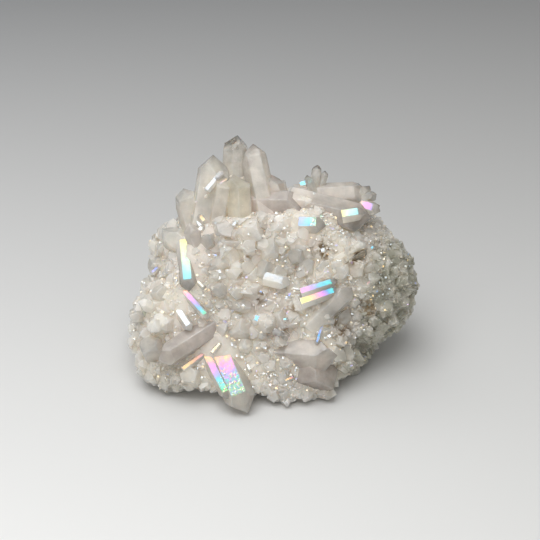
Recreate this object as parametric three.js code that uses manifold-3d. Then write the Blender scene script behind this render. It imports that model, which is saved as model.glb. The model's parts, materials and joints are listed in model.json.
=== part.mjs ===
// A cluster of opalescent quartz: one natural piece, about 105 mm wide.
// Hexagonal crystals with sloping tips stand out of a rock-like root mass, broken off flat underneath.
// Millimetres, +Z up. The crystal-covered face looks towards -Y and leans back from upright.
// The origin is on the flat underside, straight below the middle of the root mass.

import * as THREE from "three";
import { mergeVertices } from "three/addons/utils/BufferGeometryUtils.js";
import Module from "manifold-3d";

const wasm = await Module();
wasm.setup();

// Driving dimensions
const LEAN = THREE.MathUtils.degToRad(33); // how far the crystal face leans back from upright
const FACE_HEIGHT = 31; // height of the middle of the crystal face above the resting surface
const ROOT_HEIGHT = 28; // height of the middle of the root mass
const ROOT_POWER = 14; // how sharply the root mass's sides meet: higher is sharper
const ROOT_DETAIL = 5; // subdivision of the root mass's surface
const ROOT_LUMPS = 0.035; // lumps on the root mass, as a share of its radius
const ROOT_GRIT = 0.02; // roughness from point to point, as a share of its radius
const BURIED = 5; // how deep a small crystal's foot goes into the root mass
const TIP_SLOPE = THREE.MathUtils.degToRad(38.2); // how far a tip face turns up from its side face
const TAPER = 0.92; // a crystal's width at its shoulder over its width at its foot
const SMOOTHING = 0.3; // details smaller than this are merged away
const SAME_POINT = 1e-4; // points closer together than this are one
const LOWEST = 2; // a small crystal's foot and tip keep this far above the resting surface

// Where a tip face's plane meets the crystal's axis, beyond the tip, in widths times the crystal's bluntness
const MAJOR_FACES = [-0.7, 0];
const MINOR_FACES = [0.12, 0.3];
const BLUNTNESS = 0.35;

// Small crystals: how many places are tried all round, their widths, and how far they stand out
const SMALL = { places: 580, width: [4.5, 9], reach: [2.5, 8.5] };
const STUBS = { places: 120, width: [3.5, 7], reach: [0.8, 3] }; // on the barren right and back sides
const SMALL_FLAT = [0.75, 1]; // how far they are squeezed
const MORE_ARE_SHORT = 1.5; // above 1, short crystals are commoner than long ones
const LEANING = 2.6; // how far a small crystal may lean over, as a multiple of how far it stands up
const SUNK = 0.3; // how far one that lies flat is sunk, in its own widths
const RIGHT_END = 35; // right of this the root mass is barren
const BACK_STARTS = 0.05; // a surface that looks less than this towards the front is the barren back
const GOLDEN_TURN = Math.PI * (3 - Math.sqrt(5)); // the turn from each evenly spread direction to the next

// How near a small crystal comes to a large one: the room beside it, where below 0 is an overlap, the room in
// front of it, and the share of its run where this starts. Beside a bright one the room is half a small one's width.
const ROOM_BESIDE = -1;
const ROOM_IN_FRONT = 0.5;
const RUN_STARTS = 0.1;

// Directions of the crystal face: across, up along the face, and out of it
const ACROSS = new THREE.Vector3(1, 0, 0);
const UP_FACE = new THREE.Vector3(0, Math.sin(LEAN), Math.cos(LEAN));
const OUT_FACE = new THREE.Vector3(0, -Math.cos(LEAN), Math.sin(LEAN));
const FACE_MIDDLE = new THREE.Vector3(0, 0, FACE_HEIGHT);
const ROOT_MIDDLE = new THREE.Vector3(0, 0, ROOT_HEIGHT);
const UP = new THREE.Vector3(0, 0, 1);

// The direction that the bright side faces look in, as across, up the face and out of it
const SHINE = onFace(-0.08, 0.36, 0.93).normalize();

// The root mass: a rounded block. Each side is its outward direction and its distance from the middle.
const ROOT_SIDES = [
  [[0.92, 0, 0.4], 44],
  [[0.9, 0.05, -0.42], 46],
  [[0.6, 0, 0.8], 38],
  [[0.84, -0.55, 0], 39],
  [[0.55, 0.1, -0.83], 44],
  [[-1, 0, 0.12], 46.5],
  [[-0.72, 0, 0.69], 36],
  [[-0.45, 0, -0.89], 43],
  [[-0.1, 0.1, 1], 30],
  [[0, -0.84, 0.54], 21],
  [[0, -1, 0], 42],
  [[-0.55, -0.7, 0.45], 37],
  [[0.55, -0.75, 0.3], 33],
  [[0, 1, 0.1], 24],
  [[0.1, 0.75, 0.66], 30],
  [[-0.7, 0.7, 0], 40],
  [[0.7, 0.7, -0.1], 48],
  [[0, 0, -1], 30],
  [[0, -0.42, -0.91], 38.5],
].map(([direction, distance]) => ({ direction: new THREE.Vector3(...direction).normalize(), distance }));

// The lobe that bulges at the root mass's right end, its sizes as across, up the face and out of it
const RIGHT_LOBE = { middle: [26, -3.5, 0], half: [26.8, 24, 19] };

// Lumps on the root mass: each pair of waves over the direction is multiplied. A wave has a number of ripples
// for x, y and z, and a phase.
const LUMP_WAVES = [
  [[7, 0, 3, 1], [-4, 8, 0, 2]],
  [[0, 5, 9, 4], [6, 0, 0, 1]],
];

// The large crystals: foot and tip as across, up the face and out of it, then the width.
// turn is how far it is turned round its own axis, in full turns. bright turns a side face to SHINE instead.
// flat squeezes it, and blunt makes its tip faces differ more.
const LARGE = [
  // the tall group at the top
  { foot: [-13, 22, 4], tip: [-12.2, 53.8, 4], width: 9.5, turn: 0.3 },
  { foot: [-1, 20, 10], tip: [-7.3, 48.8, 8], width: 9, turn: 0.1 },
  { foot: [5.5, 18, 8], tip: [-1.5, 38.5, 8], width: 8.5, turn: 0.6 },
  { foot: [-10.5, 13, 14.5], tip: [-12, 42, 14], width: 9, turn: 0.5, blunt: 1.2 },
  { foot: [-23.5, 17, 10], tip: [-19.5, 45.5, 8], width: 11.5, turn: 0.2 },
  { foot: [-19.5, 16, 13], tip: [-15.5, 38.5, 14], width: 8, turn: 0.4, blunt: 0.8 },
  { foot: [-23, 30.5, 16.2], tip: [-16.8, 38, 13.8], width: 2.6, bright: true },
  { foot: [-20, 16, 9], tip: [-26.5, 32, 8], width: 8, turn: 0.3, blunt: 0.6 },
  { foot: [-25.5, 14, 8], tip: [-32, 35, 5], width: 10.5, turn: 0.4, blunt: 0.6 },
  { foot: [-23, 14, 15], tip: [-28, 24, 19], width: 4.5, bright: true },
  { foot: [-29, 8, 8], tip: [-40, 18, 5], width: 9, turn: 0.6 },
  { foot: [-24, 5, 14], tip: [-29.5, 19, 18], width: 6, turn: 0.3 },
  // the long crystals at the upper right
  { foot: [-8, 26, 8], tip: [17, 25.5, 13.5], width: 9.5, turn: 0.5, blunt: 0.8 },
  { foot: [7, 26.5, 9], tip: [38, 19, 15.5], width: 11, turn: 0.3, flat: 0.8 },
  { foot: [10.5, 18.2, 18], tip: [21, 18, 19], width: 6.4, bright: true },
  { foot: [9, 28.5, 2], tip: [37.5, 30, 4], width: 9, turn: 0.3 },
  { foot: [26, 21.2, 17], tip: [35, 22.8, 18.5], width: 5, bright: true },
  { foot: [33, 25, 11], tip: [41, 23, 14], width: 5, bright: true },
  { foot: [11, 33, 3], tip: [20.8, 34.8, 6], width: 3.2, bright: true },
  { foot: [16, 31, 4], tip: [17.5, 41, 6], width: 3.4, turn: 0.2 },
  { foot: [16, 30, 6], tip: [13.5, 37, 8], width: 3.2, turn: 0.7 },
  { foot: [18, 30, 4], tip: [20.5, 39, 3], width: 3.2, turn: 0.5 },
  { foot: [29, 25, 2], tip: [37, 34, 3], width: 7.5, turn: 0.1 },
  { foot: [32, 27, 4], tip: [40, 30, 6], width: 4, turn: 0.8 },
  { foot: [33, 24, 6], tip: [41, 26, 7], width: 4.4, turn: 0.4 },
  { foot: [-3, 26, 4], tip: [0.5, 38, 4], width: 5.5, turn: 0.3 },
  { foot: [1, 25, 6], tip: [5.5, 35.5, 6], width: 5.5, turn: 0.6 },
  { foot: [6, 25, 4], tip: [9, 34, 4], width: 5, turn: 0.1 },
  // the blades and the pair with a clear neighbour, right of the middle
  { foot: [23, 5, 18.5], tip: [35, 12, 19.5], width: 3, turn: 0.5 },
  { foot: [24, 2, 18.5], tip: [35.5, 9, 19], width: 2.8, turn: 0.2 },
  { foot: [25, 0, 18], tip: [34.5, 5.5, 19], width: 3, turn: 0.8 },
  { foot: [-2, -1, 20.2], tip: [8, -3.6, 20.2], width: 5.2, bright: true },
  { foot: [11, -6.4, 22.2], tip: [25, -2, 22.2], width: 3.8, bright: true },
  { foot: [11, -10.2, 22.2], tip: [26, -5, 22.2], width: 4.2, bright: true },
  { foot: [14, -19, 17], tip: [30, -3.5, 22], width: 7.5, turn: 0.4 },
  // the bright faces at the left
  { foot: [-31, 12, 13], tip: [-29, -7, 20], width: 6, bright: true, blunt: 0.7 },
  { foot: [-31, -6, 18], tip: [-22, -16, 22], width: 3.2, bright: true },
  { foot: [-33, -13, 18], tip: [-28, -20.5, 21], width: 3.8, bright: true },
  // the long dull crystal at the lower left, and the pair that points down to the front
  { foot: [-14, -14.5, 14], tip: [-41, -31.5, 23], width: 8.5, turn: 0.25, flat: 0.85 },
  { foot: [-24, -27, 16], tip: [-14.5, -45, 23], width: 4.6, bright: true },
  { foot: [-20, -24, 12], tip: [-8, -50.5, 23], width: 10.5, bright: true },
  // the stout crystals at the lower right
  { foot: [10, -33.5, 10], tip: [25, -45.5, 19], width: 17, turn: 0.36, blunt: 0.8 },
  { foot: [-4, -27.5, 12], tip: [27, -30, 20], width: 12, turn: 0.7, blunt: 0.5 },
  { foot: [-3, -35, 11], tip: [-0.5, -44, 17], width: 6, turn: 0.4 },
  { foot: [36, -10, -8], tip: [46, -17, -8], width: 6, turn: 0.2 },
  // crystals that point out of the face
  { foot: [-11, -20, 8], tip: [-11, -19.5, 24.5], width: 9, turn: 0.4, blunt: 0.6 },
  { foot: [-3, -4, 10], tip: [-1, 6, 23.5], width: 9, turn: 0.2 },
  { foot: [8, 4, 12], tip: [11, 9, 23.5], width: 7, turn: 0.6 },
  { foot: [2, -14, 12], tip: [5, -19, 24.5], width: 8, turn: 0.5 },
  { foot: [-20, 0, 12], tip: [-18, 4, 23], width: 8, turn: 0.1, blunt: 0.5 },
  { foot: [-37, -8, 8], tip: [-41, -6, 22], width: 6.5, turn: 0.3 },
  { foot: [-39, -25, 10], tip: [-47, -29.5, 21], width: 10, turn: 0.5 },
  { foot: [-38, -33, 6], tip: [-49.5, -36.5, 13], width: 9.5, turn: 0.2 },
  { foot: [-31, -34, 8], tip: [-38, -43.5, 14], width: 8.5, turn: 0.7 },
  { foot: [-22, 9, 12], tip: [-21.5, 15, 22], width: 6.5, turn: 0.3 },
];

// A vector from its parts across the crystal face, up it and out of it.
function onFace(across, up, out) {
  return new THREE.Vector3()
    .addScaledVector(ACROSS, across)
    .addScaledVector(UP_FACE, up)
    .addScaledVector(OUT_FACE, out);
}

// A point given on the crystal face, in the piece's own frame.
function facePoint([across, up, out]) {
  return onFace(across, up, out).add(FACE_MIDDLE);
}

// A repeatable number from 0 to 1 for item number index, one for each use.
function chance(index, use) {
  const wave = Math.sin(index * 12.9898 + use * 78.233) * 43758.5453;
  return wave - Math.floor(wave);
}

function between([low, high], share) {
  return low + (high - low) * share;
}

// How far the right lobe reaches from the root mass's middle in a direction.
function lobeReach(direction) {
  const ways = [ACROSS, UP_FACE, OUT_FACE];
  const inLobe = (vector) => new THREE.Vector3(...ways.map((way, k) => vector.dot(way) / RIGHT_LOBE.half[k]));
  const start = inLobe(ROOT_MIDDLE.clone().sub(facePoint(RIGHT_LOBE.middle)));
  const step = inLobe(direction);
  const square = step.lengthSq();
  const along = start.dot(step);
  return (Math.sqrt(along ** 2 - square * (start.lengthSq() - 1)) - along) / square;
}

// How far the root mass reaches from its middle in a direction, and the way its surface faces there.
function rootSurface(direction) {
  let sum = 0;
  const facing = new THREE.Vector3();
  for (const side of ROOT_SIDES) {
    const closeness = Math.max(0, direction.dot(side.direction)) / side.distance;
    sum += closeness ** ROOT_POWER;
    facing.addScaledVector(side.direction, closeness ** (ROOT_POWER - 1) / side.distance);
  }
  const block = sum ** (-1 / ROOT_POWER) * (1 + ROOT_LUMPS * lumpiness(direction));
  const lobe = lobeReach(direction);
  if (lobe > block) {
    facing.copy(direction).multiplyScalar(lobe).add(ROOT_MIDDLE).sub(facePoint(RIGHT_LOBE.middle));
  }
  return { radius: Math.max(block, lobe), facing: facing.normalize() };
}

function lumpiness(direction) {
  const height = ([x, y, z, phase]) => Math.sin(x * direction.x + y * direction.y + z * direction.z + phase);
  return LUMP_WAVES.reduce((sum, [one, other]) => sum + height(one) * height(other), 0);
}

// A three.js geometry as a solid that can be joined and cut.
function toSolid(geometry) {
  const merged = mergedPoints(geometry);
  const mesh = new wasm.Mesh({
    numProp: 3,
    vertProperties: merged.attributes.position.array,
    triVerts: new Uint32Array(merged.index.array),
  });
  return new wasm.Manifold(mesh);
}

// A geometry with its position alone left, and each of its points only once.
function mergedPoints(geometry) {
  geometry.deleteAttribute("normal");
  geometry.deleteAttribute("uv");
  return mergeVertices(geometry, SAME_POINT);
}

// The root mass, lumpy and gritty.
function rootMass() {
  const geometry = mergedPoints(new THREE.IcosahedronGeometry(1, ROOT_DETAIL));
  const points = geometry.attributes.position;
  const direction = new THREE.Vector3();
  for (let i = 0; i < points.count; i++) {
    direction.fromBufferAttribute(points, i).normalize();
    const grit = 1 + ROOT_GRIT * (2 * chance(i, 9) - 1);
    const place = direction.clone().multiplyScalar(rootSurface(direction).radius * grit).add(ROOT_MIDDLE);
    points.setXYZ(i, place.x, place.y, place.z);
  }
  return toSolid(geometry);
}

// One quartz crystal along +Z from its foot at the origin: a six-sided prism cut by six tip faces.
// Every other tip face cuts in further, as on real quartz, and each does so a little differently.
function crystalSolid({ length, width, flat = 1, blunt = BLUNTNESS, seed }) {
  const radius = width / Math.sqrt(3); // to the prism's corners
  const prism = new THREE.CylinderGeometry(radius * TAPER, radius, length, 6);
  prism.rotateX(Math.PI / 2).translate(0, 0, length / 2);
  let solid = toSolid(prism);
  for (let k = 0; k < 6; k++) {
    const normal = new THREE.Vector3().setFromSphericalCoords(1, Math.PI / 2 - TIP_SLOPE, (k * Math.PI) / 3);
    const inward = [-normal.z, -normal.x, -normal.y];
    const beyond = width * blunt * between(k % 2 ? MINOR_FACES : MAJOR_FACES, chance(seed, k));
    solid = solid.trimByPlane(inward, inward[2] * (length + beyond));
  }
  return solid.scale([1, flat, 1]);
}

// A crystal from foot to tip. facing, if given, is the direction that one of its side faces looks in.
function placeCrystal({ foot, tip, width, flat, blunt, turn, facing, seed }) {
  const axis = tip.clone().sub(foot);
  const length = axis.length();
  axis.normalize();
  const sideways = facing ? facing.clone() : turnedSide(axis, turn);
  sideways.addScaledVector(axis, -sideways.dot(axis)).normalize();
  const third = new THREE.Vector3().crossVectors(axis, sideways);
  const place = new THREE.Matrix4().makeBasis(sideways, third, axis).setPosition(foot);
  return crystalSolid({ length, width, flat, blunt, seed }).transform(place.elements);
}

// A direction square to the axis, turn full turns round it.
function turnedSide(axis, turn) {
  const side = new THREE.Vector3(1, 0, 0).applyAxisAngle(UP, 2 * Math.PI * turn);
  return side.applyQuaternion(new THREE.Quaternion().setFromUnitVectors(UP, axis));
}

// A large crystal from its row in LARGE. A bright one is swung until it lies square to SHINE.
function largeCrystal(row, index) {
  const foot = facePoint(row.foot);
  const tip = facePoint(row.tip);
  if (row.bright) {
    const axis = tip.clone().sub(foot);
    const error = axis.dot(SHINE) / OUT_FACE.dot(SHINE);
    tip.addScaledVector(OUT_FACE, -error);
  }
  return placeCrystal({ ...row, foot, tip, facing: row.bright ? SHINE : undefined, seed: index });
}

// Whether a small crystal so wide would hide a large one from in front of the face, at a point of its run.
function hidesLarge(point, smallWidth) {
  const [across, up, out] = [ACROSS, UP_FACE, OUT_FACE].map((way) => point.clone().sub(FACE_MIDDLE).dot(way));
  return LARGE.some(({ foot, tip, width, bright }) => {
    const run = [tip[0] - foot[0], tip[1] - foot[1]];
    const along = ((across - foot[0]) * run[0] + (up - foot[1]) * run[1]) / (run[0] ** 2 + run[1] ** 2);
    const share = THREE.MathUtils.clamp(along, RUN_STARTS, 1);
    const gap = Math.hypot(across - foot[0] - share * run[0], up - foot[1] - share * run[1]);
    const front = foot[2] + share * (tip[2] - foot[2]);
    const room = bright ? smallWidth / 2 : ROOM_BESIDE;
    return gap < width / 2 + room && out > front + ROOM_IN_FRONT;
  });
}

// Whether the root mass is barren there: on its back, and round its right end.
function isBarren(surface, facing) {
  return facing.dot(OUT_FACE) < BACK_STARTS || surface.x > RIGHT_END;
}

// Direction number i of so many spread evenly all round.
function spread(i, count) {
  const height = 1 - (2 * i + 1) / count;
  const around = i * GOLDEN_TURN;
  return new THREE.Vector3(0, 0, height).addScaledVector(
    new THREE.Vector3(Math.cos(around), Math.sin(around), 0),
    Math.sqrt(1 - height ** 2),
  );
}

// Small crystals of one kind, spread evenly round the root mass and kept on the barren side or off it.
function smallCrystals({ places, width, reach }, onBarren) {
  const made = [];
  for (let i = 0; i < places; i++) {
    const direction = spread(i, places);
    const { radius, facing } = rootSurface(direction);
    const surface = direction.clone().multiplyScalar(radius).add(ROOT_MIDDLE);
    if (isBarren(surface, facing) !== onBarren) continue;
    const stray = new THREE.Vector3(chance(i, 1) - 0.5, chance(i, 2) - 0.5, chance(i, 3) - 0.5);
    stray.addScaledVector(facing, -stray.dot(facing));
    const axis = facing.clone().addScaledVector(stray, LEANING).normalize();
    const across = between(width, chance(i, 5));
    const start = surface.clone().addScaledVector(facing, -SUNK * across * (1 - axis.dot(facing)));
    const tip = start.clone().addScaledVector(axis, between(reach, chance(i, 4) ** MORE_ARE_SHORT));
    const middle = start.clone().lerp(tip, 0.5);
    if (Math.min(tip.z, surface.z) < LOWEST || hidesLarge(tip, across) || hidesLarge(middle, across)) continue;
    const foot = start.addScaledVector(axis, -BURIED);
    const flat = between(SMALL_FLAT, chance(i, 6));
    made.push(placeCrystal({ foot, tip, width: across, flat, turn: chance(i, 7), seed: i }));
  }
  return made;
}

// Everything joined in one solid and cut off flat at the resting surface.
function clusterGeometry() {
  const small = [...smallCrystals(SMALL, false), ...smallCrystals(STUBS, true)];
  const joined = wasm.Manifold.union([rootMass(), ...LARGE.map(largeCrystal), ...small]);
  const rested = joined.trimByPlane([0, 0, 1], 0).simplify(SMOOTHING);
  // Voids shut in between the crystals are filled: only the outer skin is kept.
  const bySize = rested.decompose().sort((one, other) => other.volume() - one.volume());
  const mesh = bySize[0].getMesh();
  const geometry = new THREE.BufferGeometry();
  geometry.setAttribute("position", new THREE.BufferAttribute(mesh.vertProperties, 3));
  geometry.setIndex(new THREE.BufferAttribute(mesh.triVerts, 1));
  geometry.computeVertexNormals();
  return geometry;
}

const quartz = new THREE.MeshStandardMaterial({ color: 0xd9d2c8, roughness: 0.2, flatShading: true });
const cluster = new THREE.Mesh(clusterGeometry(), quartz);
cluster.name = "quartz_cluster";

const part = new THREE.Group();
part.name = "opalescent_quartz_cluster";
part.add(cluster);

export default part;
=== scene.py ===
import json
import math

import bmesh
import bpy
import numpy as np
from mathutils import Matrix, Vector, noise
from mathutils.bvhtree import BVHTree

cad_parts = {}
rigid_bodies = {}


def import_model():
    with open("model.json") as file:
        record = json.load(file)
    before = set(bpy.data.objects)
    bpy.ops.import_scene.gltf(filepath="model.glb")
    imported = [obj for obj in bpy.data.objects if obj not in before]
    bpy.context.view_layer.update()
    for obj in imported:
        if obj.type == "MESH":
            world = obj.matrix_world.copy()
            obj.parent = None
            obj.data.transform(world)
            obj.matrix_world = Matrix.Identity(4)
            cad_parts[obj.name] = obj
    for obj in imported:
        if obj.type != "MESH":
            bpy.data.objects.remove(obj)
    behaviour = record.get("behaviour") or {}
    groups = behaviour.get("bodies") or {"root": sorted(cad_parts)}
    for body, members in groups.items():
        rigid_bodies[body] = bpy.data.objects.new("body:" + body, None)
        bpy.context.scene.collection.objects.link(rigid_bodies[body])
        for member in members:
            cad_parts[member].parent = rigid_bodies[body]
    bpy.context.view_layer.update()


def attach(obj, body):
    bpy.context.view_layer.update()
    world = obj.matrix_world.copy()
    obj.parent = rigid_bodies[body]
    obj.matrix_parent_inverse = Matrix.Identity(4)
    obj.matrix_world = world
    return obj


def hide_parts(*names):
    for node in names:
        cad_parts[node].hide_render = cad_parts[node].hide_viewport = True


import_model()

MM = 0.001

# The crystal face and the root mass: the same values as in the solid's source
LEAN = math.radians(33)
ACROSS = Vector((1, 0, 0))
UP_FACE = Vector((0, math.sin(LEAN), math.cos(LEAN)))
OUT_FACE = Vector((0, -math.cos(LEAN), math.sin(LEAN)))
UP = Vector((0, 0, 1))
FACE_MIDDLE = Vector((0, 0, 31))
ROOT_MIDDLE = Vector((0, 0, 28))
ROOT_POWER = 14
ROOT_LUMPS = 0.035
BURIED = 5
TIP_SLOPE = math.radians(38.2)
TAPER = 0.92
LOWEST = 2
MAJOR_FACES = (-0.7, 0)
MINOR_FACES = (0.12, 0.3)
BLUNTNESS = 0.35
SMALL = dict(places=580, width=(4.5, 9), reach=(2.5, 8.5))
STUBS = dict(places=120, width=(3.5, 7), reach=(0.8, 3))
SMALL_FLAT = (0.75, 1)
SMALL_CLEAR = (0.1, 0.36)
MORE_ARE_SHORT = 1.5
LEANING = 2.6
SUNK = 0.3
RIGHT_END = 35
BACK_STARTS = 0.05
ROOM_BESIDE = -1
ROOM_IN_FRONT = 0.5
RUN_STARTS = 0.1
GOLDEN_TURN = math.pi * (3 - math.sqrt(5))

# The growth too fine for the solid, in three sizes. width, reach and buried are in millimetres, and clear is
# how see-through it is. on_rock is how much of it keeps to the matrix. flash_share is the share of the narrow
# crystals that face SHINE with a coated side. At 1, only those are made.
FINE = dict(
    count=3600,
    width=(2.2, 6.2),
    reach=(0.4, 3),
    buried=2,
    clear=(0.05, 0.22),
    on_rock=0.4,
    flash_share=0.1,
    seed=1000,
)
DRUSE = dict(
    count=3500,
    width=(0.8, 2.2),
    reach=(0.1, 0.8),
    buried=0.8,
    clear=(0, 0.15),
    on_rock=0.9,
    flash_share=0.1,
    seed=9000,
)
SPARKLES = dict(
    count=3000,
    width=(0.6, 1.7),
    reach=(0.3, 1),
    buried=0.5,
    clear=(0, 0.1),
    on_rock=0,
    flash_share=1,
    seed=20000,
)
FINE_SPREAD = (0.6, 1.4)
# How thickly the fine growth lies on the root mass, and at the foot of a large crystal. Along a large one it
# thins out at the given rate, and on a small one it goes from the first share down to the last.
ROOT_COVER = 3
LARGE_COVER = 0.5
LARGE_THINNING = 2.2
SMALL_COVER = (1.3, 0.12)

# The root mass's sides: outward direction, and distance from its middle
ROOT_SIDES = [
    ((0.92, 0, 0.4), 44),
    ((0.9, 0.05, -0.42), 46),
    ((0.6, 0, 0.8), 38),
    ((0.84, -0.55, 0), 39),
    ((0.55, 0.1, -0.83), 44),
    ((-1, 0, 0.12), 46.5),
    ((-0.72, 0, 0.69), 36),
    ((-0.45, 0, -0.89), 43),
    ((-0.1, 0.1, 1), 30),
    ((0, -0.84, 0.54), 21),
    ((0, -1, 0), 42),
    ((-0.55, -0.7, 0.45), 37),
    ((0.55, -0.75, 0.3), 33),
    ((0, 1, 0.1), 24),
    ((0.1, 0.75, 0.66), 30),
    ((-0.7, 0.7, 0), 40),
    ((0.7, 0.7, -0.1), 48),
    ((0, 0, -1), 30),
    ((0, -0.42, -0.91), 38.5),
]
LOBE_MIDDLE = (26, -3.5, 0)
LOBE_HALF = (26.8, 24, 19)
LUMP_WAVES = [((7, 0, 3, 1), (-4, 8, 0, 2)), ((0, 5, 9, 4), (6, 0, 0, 1))]

# The large crystals, in the same order as in the solid's source: foot and tip as across, up the face and out
# of it. clear is how see-through it is, mauve and warm tint it, and film is the coating's thickness in
# nanometres at its foot and at its tip. speckle makes the coating grainy towards the tip.
LARGE = [
    # the tall group at the top
    dict(foot=(-13, 22, 4), tip=(-12.2, 53.8, 4), width=9.5, turn=0.3, clear=0.85),
    dict(foot=(-1, 20, 10), tip=(-7.3, 48.8, 8), width=9, turn=0.1, clear=0.7, mauve=0.4),
    dict(foot=(5.5, 18, 8), tip=(-1.5, 38.5, 8), width=8.5, turn=0.6, clear=0.5, mauve=0.7),
    dict(foot=(-10.5, 13, 14.5), tip=(-12, 42, 14), width=9, turn=0.5, blunt=1.2, clear=0.5, warm=1),
    dict(foot=(-23.5, 17, 10), tip=(-19.5, 45.5, 8), width=11.5, turn=0.2, clear=0.75),
    dict(foot=(-19.5, 16, 13), tip=(-15.5, 38.5, 14), width=8, turn=0.4, blunt=0.8, mauve=0.4, warm=0.4),
    dict(foot=(-23, 30.5, 16.2), tip=(-16.8, 38, 13.8), width=2.6, film=(26, 22), clear=0.4),
    dict(foot=(-20, 16, 9), tip=(-26.5, 32, 8), width=8, turn=0.3, blunt=0.6, clear=0.6),
    dict(foot=(-25.5, 14, 8), tip=(-32, 35, 5), width=10.5, turn=0.4, blunt=0.6, clear=0.75),
    dict(foot=(-23, 14, 15), tip=(-28, 24, 19), width=4.5, film=(40, 46), clear=0.4),
    dict(foot=(-29, 8, 8), tip=(-40, 18, 5), width=9, turn=0.6, clear=0.5),
    dict(foot=(-24, 5, 14), tip=(-29.5, 19, 18), width=6, turn=0.3, mauve=0.7),
    # the long crystals at the upper right
    dict(foot=(-8, 26, 8), tip=(17, 25.5, 13.5), width=9.5, turn=0.5, blunt=0.8, clear=0.7, mauve=1.3),
    dict(foot=(7, 26.5, 9), tip=(38, 19, 15.5), width=11, turn=0.3, flat=0.8, clear=0.7, mauve=0.8),
    dict(foot=(10.5, 18.2, 18), tip=(21, 18, 19), width=6.4, film=(128, 195), speckle=0.3),
    dict(foot=(9, 28.5, 2), tip=(37.5, 30, 4), width=9, turn=0.3, clear=0.7, mauve=0.8),
    dict(foot=(26, 21.2, 17), tip=(35, 22.8, 18.5), width=5, film=(185, 150)),
    dict(foot=(33, 25, 11), tip=(41, 23, 14), width=5, film=(215, 275)),
    dict(foot=(11, 33, 3), tip=(20.8, 34.8, 6), width=3.2, film=(150, 158)),
    dict(foot=(16, 31, 4), tip=(17.5, 41, 6), width=3.4, turn=0.2, clear=0.85),
    dict(foot=(16, 30, 6), tip=(13.5, 37, 8), width=3.2, turn=0.7, clear=0.8),
    dict(foot=(18, 30, 4), tip=(20.5, 39, 3), width=3.2, turn=0.5, clear=0.85),
    dict(foot=(29, 25, 2), tip=(37, 34, 3), width=7.5, turn=0.1, clear=0.9),
    dict(foot=(32, 27, 4), tip=(40, 30, 6), width=4, turn=0.8, clear=0.9),
    dict(foot=(33, 24, 6), tip=(41, 26, 7), width=4.4, turn=0.4, clear=0.8),
    dict(foot=(-3, 26, 4), tip=(0.5, 38, 4), width=5.5, turn=0.3, clear=0.5),
    dict(foot=(1, 25, 6), tip=(5.5, 35.5, 6), width=5.5, turn=0.6, mauve=0.5),
    dict(foot=(6, 25, 4), tip=(9, 34, 4), width=5, turn=0.1),
    # the blades and the pair with a clear neighbour, right of the middle
    dict(foot=(23, 5, 18.5), tip=(35, 12, 19.5), width=3, turn=0.5, warm=0.3, clear=0.1),
    dict(foot=(24, 2, 18.5), tip=(35.5, 9, 19), width=2.8, turn=0.2, warm=1.3, clear=0.9),
    dict(foot=(25, 0, 18), tip=(34.5, 5.5, 19), width=3, turn=0.8, warm=0.3, clear=0.1),
    dict(foot=(-2, -1, 20.2), tip=(8, -3.6, 20.2), width=5.2, film=(20, 26), clear=0.3),
    dict(foot=(11, -6.4, 22.2), tip=(25, -2, 22.2), width=3.8, film=(225, 285)),
    dict(foot=(11, -10.2, 22.2), tip=(26, -5, 22.2), width=4.2, film=(185, 285)),
    dict(foot=(14, -19, 17), tip=(30, -3.5, 22), width=7.5, turn=0.4, clear=0.55, mauve=0.3),
    # the bright faces at the left
    dict(foot=(-31, 12, 13), tip=(-29, -7, 20), width=6, blunt=0.7, film=(190, 140)),
    dict(foot=(-31, -6, 18), tip=(-22, -16, 22), width=3.2, film=(212, 285)),
    dict(foot=(-33, -13, 18), tip=(-28, -20.5, 21), width=3.8, film=(44, 50), clear=0.4),
    # the long dull crystal at the lower left, and the pair that points down to the front
    dict(foot=(-14, -14.5, 14), tip=(-41, -31.5, 23), width=8.5, turn=0.25, flat=0.85, clear=0.5, mauve=1.3),
    dict(foot=(-24, -27, 16), tip=(-14.5, -45, 23), width=4.6, film=(187, 305)),
    dict(foot=(-20, -24, 12), tip=(-8, -50.5, 23), width=10.5, film=(165, 330), speckle=1),
    # the stout crystals at the lower right
    dict(foot=(10, -33.5, 10), tip=(25, -45.5, 19), width=17, turn=0.36, blunt=0.8, clear=0.7, mauve=1.3),
    dict(foot=(-4, -27.5, 12), tip=(27, -30, 20), width=12, turn=0.7, blunt=0.5, clear=0.6, mauve=0.8),
    dict(foot=(-3, -35, 11), tip=(-0.5, -44, 17), width=6, turn=0.4),
    dict(foot=(36, -10, -8), tip=(46, -17, -8), width=6, turn=0.2),
    # crystals that point out of the face
    dict(foot=(-11, -20, 8), tip=(-11, -19.5, 24.5), width=9, turn=0.4, blunt=0.6),
    dict(foot=(-3, -4, 10), tip=(-1, 6, 23.5), width=9, turn=0.2),
    dict(foot=(8, 4, 12), tip=(11, 9, 23.5), width=7, turn=0.6),
    dict(foot=(2, -14, 12), tip=(5, -19, 24.5), width=8, turn=0.5, mauve=0.4),
    dict(foot=(-20, 0, 12), tip=(-18, 4, 23), width=8, turn=0.1, blunt=0.5),
    dict(foot=(-37, -8, 8), tip=(-41, -6, 22), width=6.5, turn=0.3),
    dict(foot=(-39, -25, 10), tip=(-47, -29.5, 21), width=10, turn=0.5, mauve=0.3),
    dict(foot=(-38, -33, 6), tip=(-49.5, -36.5, 13), width=9.5, turn=0.2),
    dict(foot=(-31, -34, 8), tip=(-38, -43.5, 14), width=8.5, turn=0.7),
    dict(foot=(-22, 9, 12), tip=(-21.5, 15, 22), width=6.5, turn=0.3),
]

LARGE_EDGE = 0.18
SMALL_EDGE = 0.1

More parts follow.
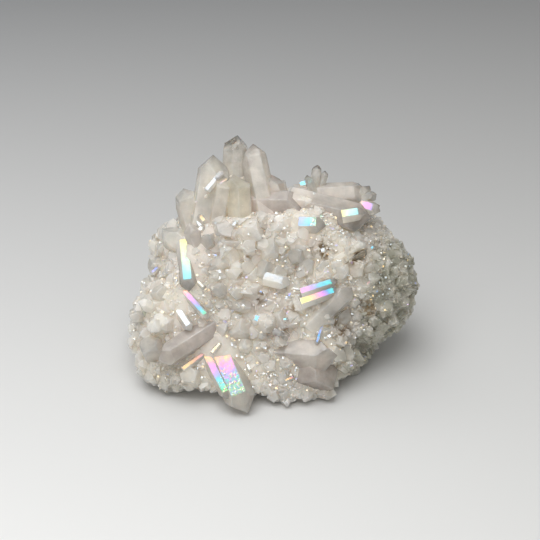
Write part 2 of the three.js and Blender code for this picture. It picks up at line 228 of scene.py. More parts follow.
# Some of the fine crystals lie so that a coated side faces SHINE: how square to SHINE the surface under them
# is at least, how wide they are at most, their coatings in nanometres, and how see-through they are
FLASH_FACING = 0.6
FLASH_WIDTH = 2.8
FLASH_FILMS = [
    (20, 24),
    (26, 30),
    (30, 34),
    (34, 38),
    (24, 28),
    (40, 46),
    (52, 56),
    (76, 84),
    (88, 95),
    (120, 150),
]
FLASH_CLEAR = 0.2
# How square to SHINE a face is where the coating on it starts to show, and where it shows fully
COATED_FACING = (0.85, 0.95)

# Small coated crystals at given places: the middle and the run of each over the face, width and film
FLASHES = [
    dict(at=(-5.2, -17), run=(-2, -4), width=3, film=(140, 165)),
    dict(at=(3.3, -21), run=(4, -2), width=2.6, film=(130, 155)),
    dict(at=(6, -16), run=(2.5, 0.5), width=1.5, film=(150, 155)),
    dict(at=(17.8, -21.5), run=(-2.5, -8), width=1.8, film=(120, 145)),
    dict(at=(-27, -31), run=(9, 6.5), width=2.6, film=(88, 120)),
    dict(at=(-19, -26), run=(4, 4.5), width=2, film=(72, 80)),
    dict(at=(-42, 2), run=(3, 3), width=2, film=(120, 135)),
    dict(at=(-45.5, -13.5), run=(0.5, -5), width=2.4, film=(165, 180)),
    dict(at=(-24.5, -4), run=(3, -3), width=1.8, film=(60, 90)),
    dict(at=(-25, 20.8), run=(-2.5, 3), width=2.4, film=(90, 98)),
    dict(at=(-24.5, 17), run=(2, 2.5), width=2.6, film=(56, 62)),
    dict(at=(37.6, 10), run=(2, 1.5), width=1.8, film=(140, 150)),
    dict(at=(37, -2), run=(4, 3), width=1.4, film=(112, 125)),
    dict(at=(7.4, -37.4), run=(4, 1.5), width=1.8, film=(90, 112)),
    dict(at=(-7.4, -34), run=(1.5, -3), width=1.8, film=(56, 60)),
    dict(at=(10.5, -5.2), run=(5, -0.5), width=1.3, film=(56, 60)),
    dict(at=(-18, 36), run=(3.5, 2.5), width=1.6, film=(48, 60)),
    dict(at=(-16.5, 34), run=(3.5, 2.5), width=1.2, film=(140, 60)),
]
PLACED_CLEAR = 0.5
# Rays to the surface start this far out
FAR_OUT = 80

# Flakes on the speckled face. share is how far along it they lie, stretch is their length over their width,
# sunk is how deep their middle lies in widths, and films are their coatings in nanometres.
FLAKES = dict(
    count=170,
    share=(0.35, 0.95),
    width=(0.5, 1.1),
    stretch=1.1,
    tilt=0.3,
    sunk=0.32,
    films=[(56, 60), (80, 90), (88, 96), (165, 175), (300, 310), (30, 34)],
)

# What each corner of a mesh tells the material, and which of it a crystal's own values give
LOOKS = ("run", "clear", "film", "coated", "speckle", "bare", "rock", "stain", "mauve", "warm")
GIVEN_LOOKS = ("coated", "speckle", "mauve", "warm")

# Brown stains in the hollows of the face: their middle across and up it, and their radius
STAINS = [
    ((19.5, 9), 6),
    ((25, -20), 5),
    ((9, -11.5), 2.5),
    ((30, 6.5), 5),
    ((-1, -27), 2.5),
    ((-3, -8), 3),
    ((35, -12), 5),
]

# The root mass's mesh, and the broken rock on it
ROOT_ROUNDS = 6
ROCK_SIZE = 5.5
ROCK_DEPTH = 1.1
CHIP_LEVEL = 0.3
CRUMB_SIZE = 2.2
CRUMB_SHARE = 0.5
# The fine growth fills the face, so the root mass reaches this much further out there than in the solid
SWELL = 0.4
FACE_STARTS = (0.3, 0.8)
# The block that cuts the piece off flat at the resting surface
CUT_REACH = 80
CUT_DEPTH = 30

# Where the matrix shows. Each ramp gives where it starts to show and where it shows fully, in millimetres.
RIGHT_SLOPE = 0.25
RIGHT_RAMP = (27, 42)
RIGHT_TOP_RAMP = (-22, -8)
LOW_RIGHT_SLOPE = 1.1
LOW_RIGHT_RAMP = (62, 80)
LOW_LEFT = (-36, -40)
LOW_LEFT_RAMP = (-16, -4)
LOW_LEFT_SHARE = 0.35
BACK_RAMP = (2, 16)
BACK_SHARE = 0.8
STAIN_FULL = 0.7

# The floor in metres, and the camera in millimetres
FLOOR_HALF = 1.6
FLOOR_GAP = 0.00002
LENS = 135
SENSOR = 36
AIM_UP = 1.85
CAMERA_OUT = 750


def on_face(across, up, out):
    return ACROSS * across + UP_FACE * up + OUT_FACE * out


SHINE = on_face(-0.08, 0.36, 0.93).normalized()


def face_point(place):
    return on_face(*place) + FACE_MIDDLE


def chance(index, use):
    """A repeatable number from 0 to 1 for item number index, one for each use."""
    wave = math.sin(index * 12.9898 + use * 78.233) * 43758.5453
    return wave - math.floor(wave)


def between(limits, share):
    return limits[0] + (limits[1] - limits[0]) * share


def root_surface(directions):
    """How far the root mass reaches from its middle in each direction, and how its surface faces there."""
    ways = np.array([Vector(way).normalized() for way, _ in ROOT_SIDES])
    distances = np.array([distance for _, distance in ROOT_SIDES])
    closeness = np.maximum(0, directions @ ways.T) / distances
    facing = (closeness ** (ROOT_POWER - 1) / distances) @ ways
    lumps = sum(ripple(directions, one) * ripple(directions, other) for one, other in LUMP_WAVES)
    block = (closeness**ROOT_POWER).sum(axis=1) ** (-1 / ROOT_POWER) * (1 + ROOT_LUMPS * lumps)
    axes = np.array([ACROSS, UP_FACE, OUT_FACE]).T / np.array(LOBE_HALF)
    lobe_middle = np.array(face_point(LOBE_MIDDLE))
    start = (np.array(ROOT_MIDDLE) - lobe_middle) @ axes
    step = directions @ axes
    square = (step**2).sum(axis=1)
    along = step @ start
    lobe = (np.sqrt(along**2 - square * (start @ start - 1)) - along) / square
    from_lobe = directions * lobe[:, None] + np.array(ROOT_MIDDLE) - lobe_middle
    facing = np.where((lobe > block)[:, None], from_lobe, facing)
    facing /= np.linalg.norm(facing, axis=1)[:, None]
    return np.maximum(block, lobe), facing


def ripple(directions, wave):
    return np.sin(directions @ np.array(wave[:3]) + wave[3])


def crystal(foot, tip, width, flat=1, blunt=BLUNTNESS, turn=0, facing=None, seed=0, edge=0, **looks):
    """A crystal as a dict: its mesh, and what the material wants to know about it."""
    axis = tip - foot
    length = axis.length
    axis.normalize()
    side = facing or UP.rotation_difference(axis) @ (Matrix.Rotation(2 * math.pi * turn, 3, "Z") @ ACROSS)
    side = (side - axis * side.dot(axis)).normalized()
    place = Matrix((side, axis.cross(side), axis)).transposed().to_4x4()
    place.translation = foot
    points, faces = crystal_shape(length, width, flat, blunt, seed, edge)
    points = [place @ point for point in points]
    return dict(points=points, faces=faces, foot=foot, axis=axis, length=length, width=width, **looks)


def crystal_shape(length, width, flat, blunt, seed, edge):
    """A six-sided prism along +Z, cut by six tip faces, its edges worn by edge millimetres."""
    radius = width / math.sqrt(3)
    mesh = bmesh.new()
    rings = []
    for height, reach in ((0, radius), (length, radius * TAPER)):
        angles = [(k + 0.5) * math.pi / 3 for k in range(6)]
        rings.append([mesh.verts.new((reach * math.cos(a), reach * math.sin(a), height)) for a in angles])
    mesh.faces.new(reversed(rings[0]))
    mesh.faces.new(rings[1])
    for k in range(6):
        mesh.faces.new((rings[0][k - 1], rings[0][k], rings[1][k], rings[1][k - 1]))
    for k in range(6):
        around = k * math.pi / 3
        level = math.cos(TIP_SLOPE)
        normal = Vector((math.cos(around) * level, math.sin(around) * level, math.sin(TIP_SLOPE)))
        beyond = width * blunt * between(MINOR_FACES if k % 2 else MAJOR_FACES, chance(seed, k))
        parts = mesh.verts[:] + mesh.edges[:] + mesh.faces[:]
        cut = bmesh.ops.bisect_plane(
            mesh, geom=parts, plane_co=(0, 0, length + beyond), plane_no=normal, clear_outer=True
        )
        edges = [part for part in cut["geom_cut"] if isinstance(part, bmesh.types.BMEdge)]
        if edges:
            bmesh.ops.edgeloop_fill(mesh, edges=edges)
    if edge:
        bmesh.ops.bevel(mesh, geom=mesh.edges[:], offset=edge, segments=1, affect="EDGES")
    bmesh.ops.recalc_face_normals(mesh, faces=mesh.faces)
    mesh.verts.index_update()
    points = [Vector((v.co.x, v.co.y * flat, v.co.z)) for v in mesh.verts]
    faces = [[v.index for v in face.verts] for face in mesh.faces]
    mesh.free()
    return points, faces


def large_crystals(rows=LARGE):
    """The large crystals. One with a film in its row is swung until it lies square to SHINE."""
    made = []
    for index, row in enumerate(rows):
        row = dict(row)
        foot = face_point(row.pop("foot"))
        tip = face_point(row.pop("tip"))
        if "film" in row:
            tip = tip - OUT_FACE * ((tip - foot).dot(SHINE) / OUT_FACE.dot(SHINE))
            row = dict(clear=0.7, facing=SHINE, coated=1) | row
        made.append(crystal(foot, tip, seed=index, edge=LARGE_EDGE, **row))
    return made


def flash_rows(host):
    """FLASHES in the form of rows of LARGE, laid on the surface of a mesh."""
    tree = BVHTree.FromPolygons([v.co for v in host.vertices], [face.vertices for face in host.polygons])
    rows = []
    for row in FLASHES:
        across, up = row["at"]
        right, rise = row["run"]
        place = tree.ray_cast(face_point((across, up, FAR_OUT)), -OUT_FACE)[0]
        out = (place - FACE_MIDDLE).dot(OUT_FACE)
        swing = on_face(right, rise, 0).dot(SHINE) / OUT_FACE.dot(SHINE)
        foot = (across - right / 2, up - rise / 2, out + swing / 2)
        tip = (across + right / 2, up + rise / 2, out - swing / 2)
        rows.append(dict(foot=foot, tip=tip, width=row["width"], film=row["film"], clear=PLACED_CLEAR))
    return rows


def hides_large(point, small_width, rows=LARGE):
    """Whether a small crystal of this width at a point would hide a large one from in front of the face."""
    across, up, out = [(point - FACE_MIDDLE).dot(way) for way in (ACROSS, UP_FACE, OUT_FACE)]
    for row in rows:
        foot, tip = row["foot"], row["tip"]
        run = (tip[0] - foot[0], tip[1] - foot[1])
        along = ((across - foot[0]) * run[0] + (up - foot[1]) * run[1]) / (run[0] ** 2 + run[1] ** 2)
        share = min(max(along, RUN_STARTS), 1)
        gap = math.hypot(across - foot[0] - share * run[0], up - foot[1] - share * run[1])
        front = foot[2] + share * (tip[2] - foot[2])
        room = small_width / 2 if "film" in row else ROOM_BESIDE
        if gap < row["width"] / 2 + room and out > front + ROOM_IN_FRONT:
            return True
    return False


def spread(count):
    """So many directions spread evenly all round."""
    steps = np.arange(count)
    height = 1 - (2 * steps + 1) / count
    level = np.sqrt(1 - height**2)
    around = steps * GOLDEN_TURN
    return np.stack((level * np.cos(around), level * np.sin(around), height), axis=1)


def random_looks(seed, clear=SMALL_CLEAR):
    return dict(clear=between(clear, chance(seed, 11)), mauve=0.5 * chance(seed, 12) ** 2)


def leaning_axis(facing, seed):
    """A repeatable direction that leans away from a surface's facing, but never into the surface."""
    stray = Vector((chance(seed, 1), chance(seed, 2), chance(seed, 3))) - Vector((0.5, 0.5, 0.5))
    stray -= facing * stray.dot(facing)
    return (facing + stray * LEANING).normalized()


def small_crystals(places, width, reach, on_barren):
    directions = spread(places)
    radii, facings = root_surface(directions)
    made = []
    for i in range(places):
        surface = Vector(directions[i] * radii[i]) + ROOT_MIDDLE
        facing = Vector(facings[i])
        barren = facing.dot(OUT_FACE) < BACK_STARTS or surface.x > RIGHT_END
        if barren != on_barren:
            continue
        axis = leaning_axis(facing, i)
        across = between(width, chance(i, 5))
        start = surface - facing * (SUNK * across * (1 - axis.dot(facing)))
        tip = start + axis * between(reach, chance(i, 4) ** MORE_ARE_SHORT)
        middle = (start + tip) / 2
        if min(tip.z, surface.z) < LOWEST or hides_large(tip, across) or hides_large(middle, across):
            continue
        made.append(
            crystal(
                start - axis * BURIED,
                tip,
                across,
                flat=between(SMALL_FLAT, chance(i, 6)),
                turn=chance(i, 7),
                seed=i,
                edge=SMALL_EDGE,
                **random_looks(i),
            )
        )
    return made


def root_mass():
    """The root mass as points and faces: the solid's form, with broken rock on its barren sides."""
    mesh = bmesh.new()
    bmesh.ops.create_icosphere(mesh, subdivisions=ROOT_ROUNDS, radius=1)
    directions = np.array([v.co.normalized() for v in mesh.verts])
    radii, facings = root_surface(directions)
    points = []
    for direction, radius, facing in zip(directions, radii, facings):
        point = Vector(direction * radius) + ROOT_MIDDLE
        on_front = smooth_step(Vector(facing).dot(OUT_FACE), *FACE_STARTS)
        front = on_front * (1 - rockiness(np.array([point]))[0])
        point += Vector(facing) * (SWELL * front)
        chips = noise.voronoi(point / ROCK_SIZE)[0]
        depth = (chips[1] - chips[0] - CHIP_LEVEL) + CRUMB_SHARE * noise.noise(point / CRUMB_SIZE)
        points.append(point + Vector(direction) * (depth * ROCK_DEPTH))
    faces = [[v.index for v in face.verts] for face in mesh.faces]
    mesh.free()
    return points, faces


def mesh_object(name, points, faces):
    data = bpy.data.meshes.new(name)
    data.from_pydata([tuple(point) for point in points], [], faces)
    data.update()
    made = bpy.data.objects.new(name, data)
    bpy.context.scene.collection.objects.link(made)
    return made


def joined(root, crystals):
    """The root mass and the crystals joined in one closed mesh, cut off flat at the resting surface."""
    helpers = bpy.data.collections.new("helpers")
    bpy.context.scene.collection.children.link(helpers)
    for number, each in enumerate(crystals):
        made = mesh_object(f"crystal_{number}", each["points"], each["faces"])
        bpy.context.scene.collection.objects.unlink(made)
        helpers.objects.link(made)
    base = mesh_object("base", *root)
    ends = (-CUT_REACH, CUT_REACH)
    low = [(x, y, z) for z in (-CUT_DEPTH, 0) for y in ends for x in ends]
    sides = [(0, 2, 3, 1), (4, 5, 7, 6), (0, 1, 5, 4), (2, 6, 7, 3), (0, 4, 6, 2), (1, 3, 7, 5)]
    below = mesh_object("below", low, sides)
    union = base.modifiers.new("union", "BOOLEAN")
    union.operation = "UNION"
    union.solver = "MANIFOLD"
    union.operand_type = "COLLECTION"
    union.collection = helpers
    cut = base.modifiers.new("cut", "BOOLEAN")
    cut.operation = "DIFFERENCE"
    cut.solver = "MANIFOLD"
    cut.object = below
    graph = bpy.context.evaluated_depsgraph_get()
    data = bpy.data.meshes.new_from_object(base.evaluated_get(graph))
    for made in [*helpers.objects, base, below]:
        bpy.data.objects.remove(made)
    bpy.data.collections.remove(helpers)
    return data


def main_mass():
    root = root_mass()
    crystals = large_crystals()
    crystals += small_crystals(**SMALL, on_barren=False)
    crystals += small_crystals(**STUBS, on_barren=True)
    host = joined(root, crystals)
    flashes = flash_rows(host)
    fine = grown_on(host, owners_of(host, root, crystals), crystals, flashes, **FINE)
    crystals += large_crystals(flashes) + fine
    data = joined(root, crystals)
    owners = owners_of(data, root, crystals)
    druse = grown_on(data, owners, crystals, flashes, **DRUSE)
    druse += grown_on(data, owners, crystals, flashes, **SPARKLES) + flakes(data, crystals)
    corner_looks(data, crystals, owners)
    return data, druse


def grown_on(
    host, owners, crystals, flashes, count, width, reach, buried, clear, on_rock, flash_share, seed
):
    """Crystals that grow on a mesh, most of them in its hollows and none on the coated faces."""
    coated = [row for row in LARGE if "film" in row] + flashes
    made = []
    places = random_places(host, owners, crystals, count, on_rock, seed)
    for number, (place, normal, owner) in enumerate(places, seed):
        size = chance(number, 5) ** MORE_ARE_SHORT
        across = between(width, size)
        axis = leaning_axis(normal, number)
        looks = random_looks(number, clear)
        shines = normal.dot(SHINE) > FLASH_FACING and across < FLASH_WIDTH
        if flash_share == 1 and not shines:
            continue
        if shines and chance(number, 13) < flash_share:
            axis = (axis - SHINE * axis.dot(SHINE)).normalized()
            film = FLASH_FILMS[int(chance(number, 14) * len(FLASH_FILMS))]
            looks = dict(coated=1, clear=FLASH_CLEAR, film=film, facing=SHINE)
        tip = place + axis * between(reach, size) * between(FINE_SPREAD, chance(number, 9))
        if tip.z < LOWEST or hides_large(tip, across, coated):
            continue
        flat = between(SMALL_FLAT, chance(number, 6))
        foot = place - axis * buried
        made.append(crystal(foot, tip, across, flat, turn=chance(number, 7), seed=number, **looks))
    return made


def flakes(host, crystals):
    """Coated flakes strewn over the bright face of each speckled crystal, more of them towards its tip."""
    tree = BVHTree.FromPolygons([v.co for v in host.vertices], [face.vertices for face in host.polygons])
    made = []
    for each in crystals:
        if not each.get("speckle"):
            continue
        sideways = each["axis"].cross(SHINE)
        for number in range(FLAKES["count"]):
            share = between(FLAKES["share"], math.sqrt(chance(number, 21)))
            aside = between((-0.5, 0.5), chance(number, 22)) * each["width"]
            on_axis = each["foot"] + each["axis"] * (share * each["length"])
            start = on_axis + sideways * aside + SHINE * FAR_OUT
            place, normal, _, _ = tree.ray_cast(start, -SHINE)
            if place is None or normal.dot(SHINE) < COATED_FACING[1]:
                continue
            tilt = Vector([chance(number, use) - 0.5 for use in (23, 24, 25)]) * FLAKES["tilt"]
            facing = (SHINE + tilt).normalized()
            width = between(FLAKES["width"], chance(number, 26))
            turn = Matrix.Rotation(math.tau * chance(number, 27), 3, facing)
            axis = (turn @ facing.orthogonal()).normalized()
            half = axis * (width * FLAKES["stretch"] / 2)
            film = FLAKES["films"][int(chance(number, 28) * len(FLAKES["films"]))]
            foot = place - half - facing * (width * FLAKES["sunk"])
            looks = dict(coated=1, clear=FLASH_CLEAR, film=film)
            made.append(crystal(foot, foot + 2 * half, width, facing=facing, seed=number, **looks))
    return made


def loose_crystals(crystals):
    """Separate crystals in one mesh, each closed in itself."""
    points = []
    faces = []
    owners = []
    for number, each in enumerate(crystals):
        faces += [[len(points) + corner for corner in face] for face in each["faces"]]
        points += each["points"]
        owners += [number] * len(each["faces"])
    data = bpy.data.meshes.new("druse")
    data.from_pydata([tuple(point) for point in points], [], faces)
    data.update()
    corner_looks(data, crystals, np.array(owners))
    return data


def random_places(host, owners, crystals, count, on_rock, seed):
    """Random places on a mesh, each as its place, the normal there and the crystal that it lies on."""
    host.calc_loop_triangles()
    triangles = host.loop_triangles
    corners = np.array([[host.vertices[v].co for v in triangle.vertices] for triangle in triangles])
    owner = np.array([owners[triangle.polygon_index] for triangle in triangles])
    normals = np.array([triangle.normal for triangle in triangles])
    wanted = np.array([triangle.area for triangle in triangles])
    wanted[corners[:, :, 2].max(axis=1) < LOWEST] = 0
    large = (owner >= 0) & (owner < len(LARGE))
    feet = np.array([each["foot"] for each in crystals])
    axes = np.array([each["axis"] for each in crystals])
    lengths = np.array([each["length"] for each in crystals])
    middles = corners.mean(axis=1)
    share = ((middles - feet[owner]) * axes[owner]).sum(axis=1) / lengths[owner]
    wanted *= np.where(large, LARGE_COVER * np.clip(1 - LARGE_THINNING * share, 0, 1), 1)
    most, least = SMALL_COVER
    wanted *= np.where((owner >= 0) & ~large, np.clip(most - most * share, least, 1), 1)
    wanted[owner < 0] *= ROOT_COVER
    wanted *= 1 - on_rock * (1 - rockiness(middles))
    picker = np.random.RandomState(seed)
    picked = picker.choice(len(triangles), count, p=wanted / wanted.sum())
    weights = picker.dirichlet((1, 1, 1), count)
    places = (corners[picked] * weights[:, :, None]).sum(axis=1)
    return [(Vector(places[k]), Vector(normals[t]), owner[t]) for k, t in enumerate(picked)]


def corner_looks(data, crystals, owners):
    """Writes LOOKS to every corner of a mesh. owners: the crystal that each face is of, or -1."""
    corners = np.empty(len(data.loops), int)
    data.loops.foreach_get("vertex_index", corners)
    places = np.empty(len(data.vertices) * 3)
    data.vertices.foreach_get("co", places)
    places = places.reshape(-1, 3)[corners]
    sizes = np.empty(len(data.polygons), int)
    data.polygons.foreach_get("loop_total", sizes)
    owner = np.repeat(owners, sizes)
    values = {name: np.array([each.get(name, 0) for each in crystals] + [0.0]) for name in GIVEN_LOOKS}
    feet = np.array([each["foot"] for each in crystals] + [ROOT_MIDDLE])
    axes = np.array([each["axis"] for each in crystals] + [UP])
    lengths = np.array([each["length"] for each in crystals] + [1.0])
    clearness = np.array([each.get("clear", 0.4) for each in crystals] + [0.0])
    films = np.array([each.get("film", (0, 0)) for each in crystals] + [(0, 0)])
    run = ((places - feet[owner]) * axes[owner]).sum(axis=1)
    share = np.clip(run / lengths[owner], 0, 1)
    share[owner < 0] = 0
    looks = {name: values[name][owner] for name in values}
    normals = np.empty(len(data.polygons) * 3)
    data.polygons.foreach_get("normal", normals)
    facing = normals.reshape(-1, 3) @ np.array(SHINE)
    looks["coated"] *= np.repeat(smooth_step(facing, *COATED_FACING), sizes)
    looks["run"] = run
    looks["clear"] = clearness[owner] * np.sqrt(share)
    looks["film"] = films[owner, 0] + (films[owner, 1] - films[owner, 0]) * share
    looks["speckle"] *= share
    looks["bare"] = (owner < 0) * 1.0
    looks["rock"] = rockiness(places)
    looks["stain"] = staining(places)
    for name in LOOKS:
        attribute = data.attributes.new(name, "FLOAT", "CORNER")
        attribute.data.foreach_set("value", looks[name].astype(np.float32))


def smooth_step(values, low, high):
    share = np.clip((values - low) / (high - low), 0, 1)
    return share * share * (3 - 2 * share)


def rockiness(places):
    """How much matrix shows at each place: at the right end, on the back, and a little at LOW_LEFT."""
    from_middle = places - np.array(FACE_MIDDLE)
    across = from_middle @ np.array(ACROSS)
    up = from_middle @ np.array(UP_FACE)
    out = from_middle @ np.array(OUT_FACE)
    right = smooth_step(across - RIGHT_SLOPE * up, *RIGHT_RAMP) * smooth_step(-up, *RIGHT_TOP_RAMP)
    low_right = smooth_step(across - LOW_RIGHT_SLOPE * up, *LOW_RIGHT_RAMP)
    low_left = smooth_step(-np.hypot(across - LOW_LEFT[0], up - LOW_LEFT[1]), *LOW_LEFT_RAMP)
    back = smooth_step(-out, *BACK_RAMP)
    pale = np.maximum(back * BACK_SHARE, low_left * LOW_LEFT_SHARE)
    return np.maximum(np.maximum(right, low_right), pale)


def staining(places):
    """How brown each place is: most at the middle of a stain, and not at its edge."""
    from_middle = places - np.array(FACE_MIDDLE)
    on_plane = np.stack((from_middle @ np.array(ACROSS), from_middle @ np.array(UP_FACE)), axis=1)
    in_front = from_middle @ np.array(OUT_FACE) > 0
    gaps = [np.linalg.norm(on_plane - middle, axis=1) / radius for middle, radius in STAINS]
    return smooth_step(1 - np.min(gaps, axis=0), 0, STAIN_FULL) * in_front


def owners_of(data, root, crystals):
    """The crystal that each face of the joined mesh comes from, or -1 for the root mass."""
    points = list(root[0])
    faces = list(root[1])
    owners = [-1] * len(faces)
    for number, each in enumerate(crystals):
        first = len(points)
        points += each["points"]
        faces += [[first + corner for corner in face] for face in each["faces"]]
        owners += [number] * len(each["faces"])
    tree = BVHTree.FromPolygons(points, faces)
    return np.array([owners[tree.find_nearest(face.center)[2]] for face in data.polygons])


def finish_piece(name, data, material):
    data.transform(Matrix.Scale(MM, 4))
    data.materials.clear()
    data.materials.append(material)
    piece = bpy.data.objects.new(name, data)
    bpy.context.scene.collection.objects.link(piece)
    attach(piece, "root")
    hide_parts("quartz_cluster")
    return piece


# Materials


def add(tree, kind, inputs=None, **settings):
    """A shader node with its settings and inputs. An input is a value, or another node's output."""
    made = tree.nodes.new(kind)
    for name, value in settings.items():
        setattr(made, name, value)
    for name, value in (inputs or {}).items():
        if isinstance(value, bpy.types.NodeSocket):
            tree.links.new(value, made.inputs[name])
        else:
            made.inputs[name].default_value = value
    return made


def maths(tree, operation, one, other):
    return add(tree, "ShaderNodeMath", {0: one, 1: other}, operation=operation).outputs[0]


def look(tree, name):
    return add(tree, "ShaderNodeAttribute", attribute_name=name, attribute_type="GEOMETRY").outputs["Fac"]


def noise_at(tree, place, scale, detail=3.0, roughness=0.5):
    inputs = {"Vector": place, "Scale": scale, "Detail": detail, "Roughness": roughness}
    return add(tree, "ShaderNodeTexNoise", inputs).outputs["Fac"]


def mixed(tree, share, one, other, blend="MIX"):
    made = add(tree, "ShaderNodeMix", data_type="RGBA", blend_type=blend)
    for socket, value in ((made.inputs[0], share), (made.inputs[6], one), (made.inputs[7], other)):
        if isinstance(value, bpy.types.NodeSocket):
            tree.links.new(value, socket)
        else:
            socket.default_value = value
    return made.outputs[2]


def spanned(tree, value, low, high, to_low=0.0, to_high=1.0):
    inputs = {"Value": value, "From Min": low, "From Max": high, "To Min": to_low, "To Max": to_high}
    return add(tree, "ShaderNodeMapRange", inputs, clamp=True).outputs[0]


def bumped(tree, height, strength, distance, below=None):
    """A bumped normal, on top of another one if given. The distance is in metres."""
    inputs = {"Height": height, "Strength": strength, "Distance": distance}
    if below:
        inputs["Normal"] = below
    return add(tree, "ShaderNodeBump", inputs).outputs[0]


MILKY = (0.92, 0.866, 0.768, 1)
BROWNISH = (0.88, 0.79, 0.68, 1)
GREYISH = (0.87, 0.82, 0.74, 1)
ROSY = (0.91, 0.835, 0.77, 1)
CLEAR = (0.96, 0.905, 0.825, 1)
MAUVE = (0.80, 0.72, 0.665, 1)
WARM = (0.93, 0.83, 0.66, 1)
ROCK = (0.42, 0.41, 0.33, 1)
RUST = (0.26, 0.18, 0.09, 1)
DUST = (0.6, 0.58, 0.55, 1)
# Clouds of other tints in the milky quartz: the scale and detail of the noise, where in it the tint starts
# and where it is full, and how strong it is there
TINTS = [
    (120, 3, 0.5, 0.68, 0.8, BROWNISH),
    (95, 2, 0.52, 0.66, 0.7, GREYISH),
    (60, 2, 0.5, 0.66, 0.7, ROSY),
]
TINTED = 0.7
DULL_ROUGHNESS = 0.5


def quartz_material(name, glow):
    """Milky to clear quartz with a film on its coated faces. glow: the reach of light in it, in metres."""
    material = bpy.data.materials.new(name)
    material.use_nodes = True
    tree = material.node_tree
    tree.nodes.clear()
    place = add(tree, "ShaderNodeTexCoord").outputs["Object"]
    clouds = noise_at(tree, place, 70, 4)
    veils = noise_at(tree, place, 260, 5, 0.6)
    grains = noise_at(tree, place, 1500, 3)

    milkiness = maths(tree, "ADD", spanned(tree, clouds, 0.3, 0.7, -0.2, 0.2), look(tree, "clear"))
    milkiness = maths(tree, "ADD", milkiness, spanned(tree, veils, 0.35, 0.65, -0.08, 0.08))
    clear = spanned(tree, milkiness, 0, 1, 0.05, 0.95)

    color = MILKY
    for scale, detail, low, high, most, tint in TINTS:
        share = spanned(tree, noise_at(tree, place, scale, detail), low, high, 0, most)
        color = mixed(tree, share, color, tint)
    color = mixed(tree, clear, color, CLEAR)
    color = mixed(tree, maths(tree, "MULTIPLY", look(tree, "mauve"), TINTED), color, MAUVE)
    color = mixed(tree, maths(tree, "MULTIPLY", look(tree, "warm"), TINTED), color, WARM)
    rock = maths(tree, "MULTIPLY", look(tree, "rock"), spanned(tree, veils, 0.35, 0.55, 0.35, 1.0))
    color = mixed(tree, rock, color, ROCK)
    color = mixed(tree, spanned(tree, grains, 0.3, 0.7, 0.0, 0.1), color, DUST, "MULTIPLY")
    patches = spanned(tree, noise_at(tree, place, 420, 3), 0.45, 0.56)
    color = mixed(tree, maths(tree, "MULTIPLY", look(tree, "stain"), patches), color, RUST)

    along = {"W": look(tree, "run"), "Scale": 2.2, "Detail": 3.0}
    stripes = add(tree, "ShaderNodeTexNoise", along, noise_dimensions="1D").outputs["Fac"]
    ridges = bumped(tree, stripes, 0.25, 0.0002)
    pits = bumped(tree, veils, 0.2, 0.0006, ridges)
    grit = bumped(tree, grains, maths(tree, "MULTIPLY", look(tree, "speckle"), 0.9), 0.0003, pits)

    film = maths(tree, "ADD", look(tree, "film"), spanned(tree, veils, 0.3, 0.7, -12, 12))
    speckle = maths(tree, "MULTIPLY", look(tree, "speckle"), spanned(tree, grains, 0.35, 0.65, -60, 60))
    film = maths(tree, "ADD", film, speckle)
    film = maths(tree, "MULTIPLY", film, look(tree, "coated"))

    dull = maths(tree, "MAXIMUM", look(tree, "bare"), look(tree, "speckle"))
    dull = maths(tree, "MULTIPLY", dull, DULL_ROUGHNESS)
    shader = add(tree, "ShaderNodeBsdfPrincipled", {
        "Base Color": color,
        "Roughness": maths(tree, "MAXIMUM", spanned(tree, rock, 0, 1, 0.08, 0.35), dull),
        "IOR": 1.54,
        "Normal": grit,
        "Subsurface Weight": 0.9,
        "Subsurface Radius": (1.0, 0.9, 0.8),
        "Subsurface Scale": glow,
        "Transmission Weight": maths(tree, "MULTIPLY", clear, spanned(tree, rock, 0, 1, 1.0, 0.5)),
        "Thin Film Thickness": film,
        "Thin Film IOR": 2.3,
    })
    absorption = add(tree, "ShaderNodeVolumeAbsorption", {"Color": (0.95, 0.91, 0.86, 1), "Density": 12.0})
    add(tree, "ShaderNodeOutputMaterial", {"Surface": shader.outputs[0], "Volume": absorption.outputs[0]})
    return material


# Stage, lights and camera


def floor():
    mesh = bmesh.new()
    bmesh.ops.create_grid(mesh, x_segments=8, y_segments=8, size=FLOOR_HALF)
    data = bpy.data.meshes.new("floor")
    mesh.to_mesh(data)
    mesh.free()
    made = bpy.data.objects.new("floor", data)
    made.location.z = -FLOOR_GAP
    bpy.context.scene.collection.objects.link(made)
    material = bpy.data.materials.new("paper_with_painted_falloff")
    material.use_nodes = True
    tree = material.node_tree
    shader = tree.nodes["Principled BSDF"]
    place = add(tree, "ShaderNodeTexCoord").outputs["Object"]
    parts = add(tree, "ShaderNodeSeparateXYZ", {0: place})
    # Painted shade: the paper's colour darkens away from the camera and towards the right, standing in for
    # the studio light's falloff on evenly pale paper.
    painted_falloff_away = spanned(tree, parts.outputs["Y"], -0.14, 0.34)
    right = spanned(tree, parts.outputs["X"], -0.15, 0.15)
    pale = mixed(tree, right, (0.90, 0.905, 0.90, 1), (0.76, 0.765, 0.755, 1))
    painted_far_shade = mixed(tree, right, (0.26, 0.266, 0.275, 1), (0.27, 0.273, 0.278, 1))
    tree.links.new(mixed(tree, painted_falloff_away, pale, painted_far_shade), shader.inputs["Base Color"])
    shader.inputs["Roughness"].default_value = 0.8
    shader.inputs["Specular IOR Level"].default_value = 0.2
    data.materials.append(material)


def softbox(name, direction, distance, size, power):
    """A square area light that looks at the piece from a direction."""
    light = bpy.data.lights.new(name, "AREA")
    light.shape = "SQUARE"
    light.size = size
    light.energy = power
    made = bpy.data.objects.new(name, light)
    direction = Vector(direction).normalized()
    made.location = FACE_MIDDLE * MM + direction * distance
    made.rotation_euler = direction.to_track_quat("Z", "Y").to_euler()
    bpy.context.scene.collection.objects.link(made)


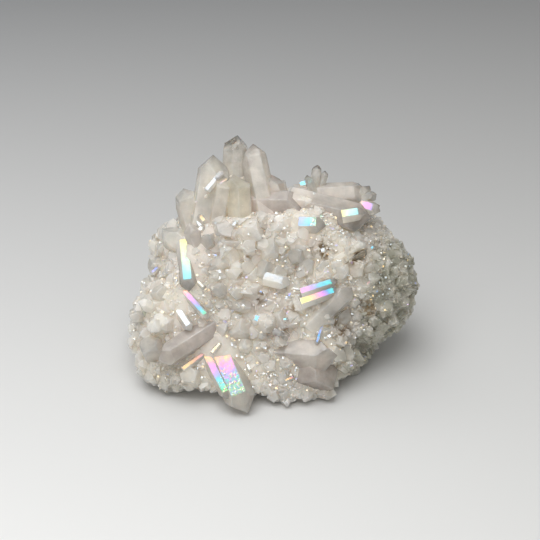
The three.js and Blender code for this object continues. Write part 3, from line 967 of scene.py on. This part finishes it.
def room_light():
    """A soft room, brighter overhead than near the horizon."""
    world = bpy.data.worlds.new("room")
    bpy.context.scene.world = world
    world.use_nodes = True
    tree = world.node_tree
    direction = add(tree, "ShaderNodeTexCoord").outputs["Generated"]
    parts = add(tree, "ShaderNodeSeparateXYZ", {0: direction})
    share = spanned(tree, parts.outputs["Z"], -0.1, 0.9)
    back = tree.nodes["Background"]
    tree.links.new(mixed(tree, share, (0.17, 0.169, 0.167, 1), (0.88, 0.87, 0.85, 1)), back.inputs["Color"])
    back.inputs["Strength"].default_value = 0.56


def camera():
    data = bpy.data.cameras.new("camera")
    data.sensor_width = SENSOR
    data.lens = LENS
    made = bpy.data.objects.new("camera", data)
    aim = FACE_MIDDLE + UP_FACE * AIM_UP
    place = FACE_MIDDLE + OUT_FACE * CAMERA_OUT
    made.location = place * MM
    made.rotation_mode = "QUATERNION"
    made.rotation_quaternion = (place - aim).to_track_quat("Z", "Y")
    data.clip_start = 0.05
    data.clip_end = 20
    bpy.context.scene.collection.objects.link(made)
    bpy.context.scene.camera = made


for left_over in ("Cube", "Camera", "Light"):
    if left_over in bpy.data.objects:
        bpy.data.objects.remove(bpy.data.objects[left_over])

camera()
floor()
room_light()
softbox("key", on_face(-0.149, 0.67, 0.73), distance=0.7, size=0.6, power=3.2)
softbox("back", (-0.35, 0.45, 0.82), distance=0.8, size=0.5, power=1.0)
softbox("fill", (-0.35, -0.9, 0.25), distance=0.9, size=0.6, power=0.9)
bpy.context.scene.view_settings.view_transform = "Standard"

data, druse = main_mass()
finish_piece("crystals", data, quartz_material("opalescent_quartz", glow=0.008))
druse_quartz = quartz_material("druse_quartz", glow=0.0004)
back = [each for each in druse if each["axis"].dot(OUT_FACE) < 0]
left = [each for each in druse if each["axis"].dot(OUT_FACE) >= 0 and each["foot"].x < 0]
right = [each for each in druse if each["axis"].dot(OUT_FACE) >= 0 and each["foot"].x >= 0]
finish_piece("druse_left", loose_crystals(left), druse_quartz)
finish_piece("druse_right", loose_crystals(right), druse_quartz)
finish_piece("druse_back", loose_crystals(back), druse_quartz)
